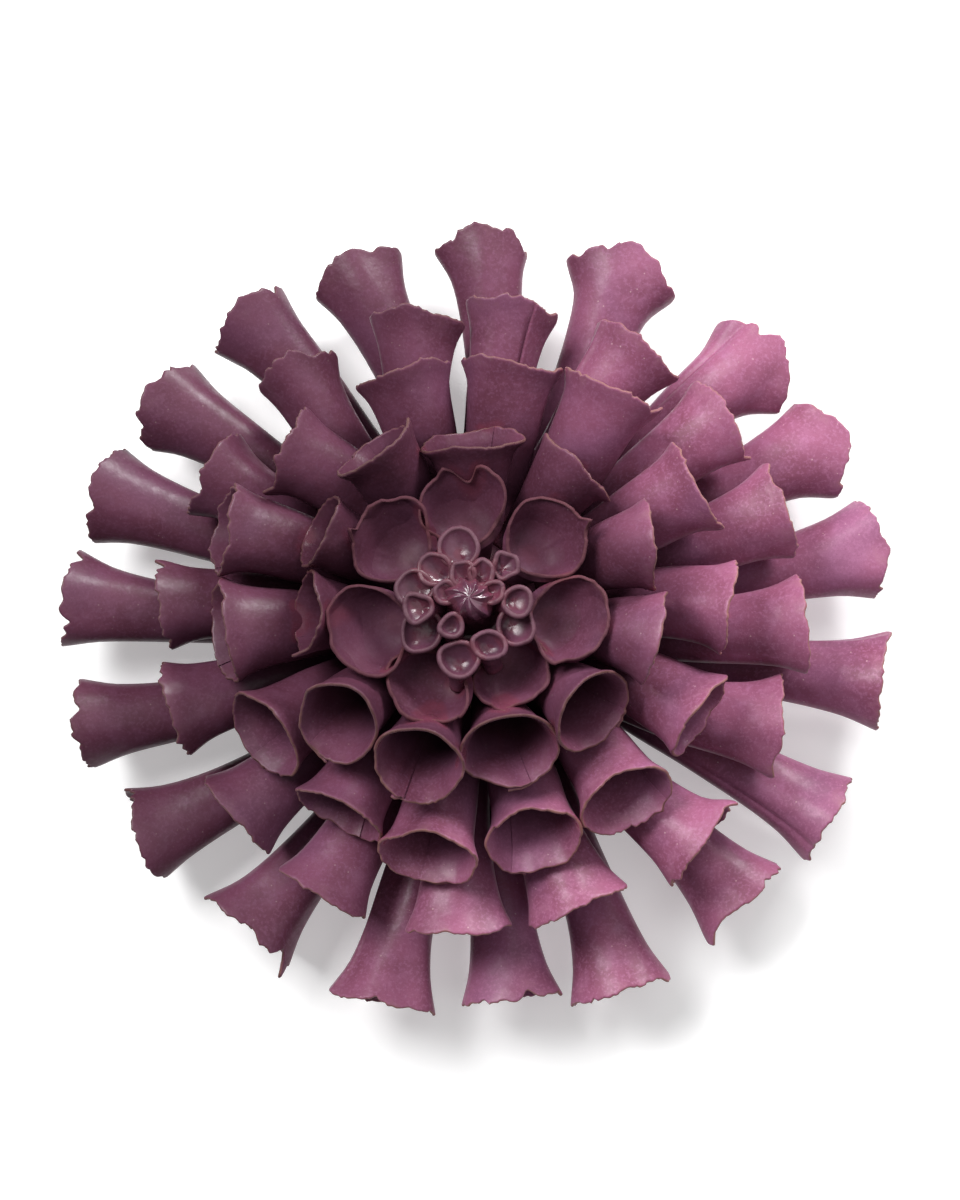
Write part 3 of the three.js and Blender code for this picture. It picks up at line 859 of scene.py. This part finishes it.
floor_height = heart_low.z
CURL_HAND = {
    "columns": 72,
    "shade": 0.35,
    "torn": 0.05,
    "wave": 0.3,
    "ripple": 0.35,
    "lip_sheet": 1.6,
    "dents": 0.2,
    "rim_width": 0.35,
    "pooled": 1.0,
}
for index, (turn, reach, width) in enumerate(zip(CURL_TURNS, CURL_REACHES, CURL_WIDTHS)):
    seed += 1
    a = math.radians(turn)
    outward = np.array([math.sin(a), math.cos(a), 0.0])
    inner = index >= OUTER_CURLS
    leaning = max(0.0, -math.cos(a))
    broader = 1.0 if inner else 1.18
    own = HANDS.get(f"curl_{index + 1:02d}", {})
    below_top = width * 0.36 + (0.6 if inner else 1.8) - own.get("lift", 0.0)
    mouth = outward * (reach - 1.5) * mm + np.array([0, 0, heart_high.z - below_top * mm])
    root = outward * (reach * (0.35 + 0.8 * leaning)) * mm
    root = root + np.array([0, -3.0 * mm * leaning, floor_height + 4 * mm])
    way = outward * (0.62 - 0.5 * leaning) + np.array([0, 0.35 * leaning, 0.75])
    tip = -width * (0.26 - 0.16 * leaning) * mm
    wide = width * broader * mm
    rings = curl_rings(root, mouth, way, CURL_STEM * mm, wide, 0.87 * wide, tip)
    hand = {**CURL_HAND, "spoon": 0.6 + 0.3 * leaning, "cut": 1.5 * (1 - leaning), **own}
    Bowl(f"heart_curl_{index + 1:02d}", rings, seed, "heart", **hand).build(curl_plum, "heart_glaze")

column = [
    (0.5 * mm, floor_height),
    (9.5 * mm, floor_height),
    (8.6 * mm, floor_height + 2 * mm),
    (7.6 * mm, floor_height + 6 * mm),
    (6.4 * mm, heart_high.z - 9 * mm),
    (5.5 * mm, heart_high.z - 7 * mm),
    (0.5 * mm, heart_high.z - 7 * mm),
]
points, faces = revolve(column, 96, 41, 0.3 * mm)
# The heart's column carries painted shade of 0.8 all over.
keep("heart_column", points, faces, 0, 0.5, 0.8, heart_plum, "heart_glaze", "heart")


def bud_mesh(folds=9, rows=34, columns=252):
    """A low dome drawn into sharp folds that run out from its tip and turn a little as they go."""
    rng = np.random.default_rng(51)
    angles = np.linspace(0, FULL, columns, endpoint=False)
    starts = np.sort((np.arange(folds) + rng.uniform(-0.28, 0.28, folds)) * FULL / folds)
    sizes = rng.uniform(0.7, 1.25, folds)
    base = heart_high.z - 7.9 * mm
    grid = []
    for level in np.linspace(0, 1, rows):
        out = math.cos(level * np.pi / 2) ** 0.8
        twisted = angles + 0.5 * (1 - out)
        gap = np.abs((twisted[:, None] - starts[None, :] + np.pi) % FULL - np.pi)
        nearest = gap.argmin(axis=1)
        ridge = np.clip(1 - gap.min(axis=1) / (FULL / folds / 2), 0, 1) ** 1.3 * sizes[nearest]
        rise = (ridge - 0.45) * 1.5 * mm * out**0.5
        wide = 6.7 * mm * out * (1 + 0.12 * np.cos(2 * angles + 0.7)) + rise * 0.5
        height = base + 6.4 * mm * math.sin(level * np.pi / 2) + rise * (0.9 * (1 - level) + 0.25)
        grid.append(np.stack([wide * np.cos(angles), wide * np.sin(angles), height], axis=-1))
    grid = np.array(grid)
    return turned_mesh(grid[:-1], (0, 0, base), grid[-1].mean(axis=0))


points, faces = bud_mesh()
keep("heart_bud", points, faces, 0, 0.3, 0, bud_plum, "heart_glaze", "heart")


def bands(grid):
    """A ring-shaped closed body from a grid that closes on itself both ways."""
    rows, columns = grid.shape[:2]
    number = np.arange(rows * columns).reshape(rows, columns)
    wrapped = np.concatenate([number, number[:, :1]], axis=1)
    wrapped = np.concatenate([wrapped, wrapped[:1]], axis=0)
    return grid.reshape(-1, 3), quads(wrapped).tolist()


def dome_body():
    """The dome as hand-smoothed clay: the CAD solid with its creases worked soft, its back kept flat."""
    raw = bpy.data.objects.new("raw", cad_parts["dome"].data.copy())
    bpy.context.collection.objects.link(raw)
    remesh = raw.modifiers.new("remesh", "REMESH")
    remesh.mode = "VOXEL"
    remesh.voxel_size = 0.9 * mm
    even = raw.modifiers.new("even", "SMOOTH")
    even.factor, even.iterations = 0.5, 4
    evaluated = raw.evaluated_get(bpy.context.evaluated_depsgraph_get())
    mesh = evaluated.to_mesh()
    points = np.array([tuple(v.co) for v in mesh.vertices])
    normals = np.array([tuple(v.normal) for v in mesh.vertices])
    faces = [tuple(f.vertices) for f in mesh.polygons]
    evaluated.to_mesh_clear()
    bpy.data.objects.remove(raw)
    radius = np.hypot(points[:, 0], points[:, 1])
    hung = (radius < 30 * mm) & (points[:, 2] < 12 * mm)
    places = [Vector(p) for p in points]
    lumps = np.array([noise_at(p / (9 * mm)) + 0.5 * noise_at(p / (3 * mm)) for p in places])
    points = points + normals * (0.35 * mm * lumps * ~hung)[:, None]
    back = points[:, 2] < 0.45 * mm
    points[back & (normals[:, 2] < -0.5), 2] = 0.0
    points[:, 2] = np.maximum(points[:, 2], 0.0)
    return points, faces


def dome_glaze(points, faces, columns=300):
    """The glaze on the dome, a skin that ends in an uneven rounded line above the bare foot."""
    rng = np.random.default_rng(61)
    tree = BVHTree.FromPolygons(points.tolist(), faces)
    angles = np.linspace(0, FULL, columns, endpoint=False)
    line = 6.3 * mm + waves(rng, angles, (2, 3, 5, 7), 1.0 * mm)
    line += waves(rng, angles, (13, 19, 29), 0.45 * mm)
    top = dome_high.z - 0.9 * mm
    steps = np.concatenate([[0, 0.15, 0.4, 0.8, 1.4], np.linspace(2.2, 100, 34)]) / 100
    outer, inner = [], []
    for step in steps:
        up = step * (top - line.mean())
        skin = 0.42 * mm * math.sqrt(1 - (1 - min(up / (0.55 * mm), 1)) ** 2) + 0.02 * mm
        heights = line + (top - line) * step
        row_out, row_in = [], []
        for angle, height in zip(angles, heights):
            way = Vector((math.cos(angle), math.sin(angle), 0))
            hit = tree.ray_cast(way * (80 * mm) + Vector((0, 0, height)), -way)
            wide = math.hypot(hit[0].x, hit[0].y)
            row_out.append(way * (wide + skin) + Vector((0, 0, height)))
            row_in.append(way * (wide - 0.5 * mm) + Vector((0, 0, height)))
        outer.append(row_out)
        inner.append(row_in)
    return bands(np.array(outer + inner[::-1]))


points, faces = dome_body()
keep("dome_clay", points, faces, 0, 0, 0, clay, "bare_clay", "dome")
points, faces = dome_glaze(points, faces)
# The dome's glaze carries painted shade of 0.5 all over.
keep("dome_glaze", points, faces, 0, 0.2, 0.5, plum, "plum_glaze", "dome")

# ---------------------------------------------------------------- glaze where pieces meet


def pool_where_pieces_meet(reach=MEETING_REACH):
    """Thick glaze on every piece near the other ones."""
    trees, boxes = {}, {}
    for name, piece in pieces.items():
        trees[name] = BVHTree.FromPolygons(piece["points"].tolist(), piece["faces"])
        boxes[name] = (piece["points"].min(axis=0) - reach, piece["points"].max(axis=0) + reach)
    for name, piece in pieces.items():
        points = piece["points"]
        nearest = np.full(len(points), reach)
        for other in pieces:
            if other == name:
                continue
            low, high = boxes[other]
            close = np.nonzero(((points > low) & (points < high)).all(axis=1))[0]
            find = trees[other].find_nearest
            for number in close:
                hit = find(points[number], nearest[number])
                if hit[3] is not None:
                    nearest[number] = hit[3]
        meeting = 1 - smooth(0.2 * mm, reach, nearest)
        piece["pool"] = np.maximum(piece["pool"], meeting)


pool_where_pieces_meet()

for name, piece in pieces.items():
    mesh = bpy.data.meshes.new(name)
    mesh.from_pydata(piece["points"].tolist(), [], piece["faces"])
    mesh.shade_smooth()
    # Painted shade: the flower's left half and the ring round its heart are darkened further.
    across, along = piece["points"][:, 0], piece["points"][:, 1]
    side = smooth(55 * mm, -75 * mm, across - 0.4 * along)
    centre = smooth(76 * mm, 34 * mm, np.hypot(across, along))
    piece["painted_shade"] = 1 - (1 - piece["painted_shade"]) * (1 - LEFT_PAINTED_SHADE * side) * (1 - HEART_PAINTED_SHADE * centre)
    for key in ("rim", "pool", "painted_shade"):
        layer = mesh.attributes.new(key, "FLOAT", "POINT")
        layer.data.foreach_set("value", piece[key].astype(np.float32))
    mesh.materials.append(piece["material"])
    made = bpy.data.objects.new(name, mesh)
    bpy.context.collection.objects.link(made)
    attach(made, "root")
    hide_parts(piece["node"])

# ---------------------------------------------------------------- floor, light and camera


def floor_material():
    material, add, shader, where = new_material("floor")
    tone = noise(add, where, 3, 4)
    colour = mixed(add, tone, (0.74, 0.74, 0.74, 1), (0.76, 0.76, 0.76, 1))
    material.node_tree.links.new(colour, shader.inputs["Base Color"])
    shader.inputs["Emission Color"].default_value = (1, 1, 1, 1)
    shader.inputs["Emission Strength"].default_value = 0.35
    shader.inputs["Roughness"].default_value = 0.9
    shader.inputs["Specular IOR Level"].default_value = 0.1
    return material


def make_floor():
    side = 6.0
    mesh = bpy.data.meshes.new("floor")
    corners = [(-side, -side, 0), (side, -side, 0), (side, side, 0), (-side, side, 0)]
    mesh.from_pydata(corners, [], [(0, 1, 2, 3)])
    mesh.materials.append(floor_material())
    floor = bpy.data.objects.new("floor", mesh)
    bpy.context.collection.objects.link(floor)


def direction(turn, elevation):
    """Towards a turn clockwise from the flower's top and an elevation over the floor."""
    a, e = math.radians(turn), math.radians(elevation)
    return Vector((math.sin(a) * math.cos(e), math.cos(a) * math.cos(e), math.sin(e)))


heart_middle = (heart_low + heart_high) / 2


def soft_box(name, turn, elevation, distance, width, height, power):
    light = bpy.data.lights.new(name, "AREA")
    light.shape = "RECTANGLE"
    light.size, light.size_y = width, height
    light.energy = power
    lamp = bpy.data.objects.new(name, light)
    towards = direction(turn, elevation)
    lamp.location = heart_middle + towards * distance
    lamp.rotation_euler = (-towards).to_track_quat("-Z", "Y").to_euler()
    bpy.context.collection.objects.link(lamp)


def make_camera(turn=164.0, elevation=83.0, distance=1.2, frame_height=0.3444):
    """The photograph's view: high over the lower right edge, with the flower's top upwards."""
    towards = direction(turn, elevation)
    up = (Vector((0, 1, 0)) - towards * towards.y).normalized()
    right = up.cross(towards)
    data = bpy.data.cameras.new("camera")
    data.sensor_width = 36
    data.lens = 36 * distance / frame_height
    data.clip_end = 20
    camera = bpy.data.objects.new("camera", data)
    place = heart_middle + towards * distance + right * (4.0 * mm) + up * (1.1 * mm)
    camera.matrix_world = Matrix((
        (right.x, up.x, towards.x, place.x),
        (right.y, up.y, towards.y, place.y),
        (right.z, up.z, towards.z, place.z),
        (0, 0, 0, 1),
    ))
    bpy.context.collection.objects.link(camera)
    bpy.context.scene.camera = camera


make_floor()
soft_box("key_light", turn=306, elevation=50, distance=1.4, width=0.7, height=0.7, power=23.5)
soft_box("fill_light", turn=74, elevation=60, distance=1.4, width=2.0, height=2.0, power=13)
soft_box("top_light", turn=30, elevation=28, distance=1.0, width=0.4, height=0.2, power=11)
world = bpy.data.worlds.new("world")
world.use_nodes = True
world.node_tree.nodes["Background"].inputs["Color"].default_value = (1, 1, 1, 1)
world.node_tree.nodes["Background"].inputs["Strength"].default_value = 0.06
bpy.context.scene.world = world
bpy.context.scene.view_settings.view_transform = "Standard"
make_camera()
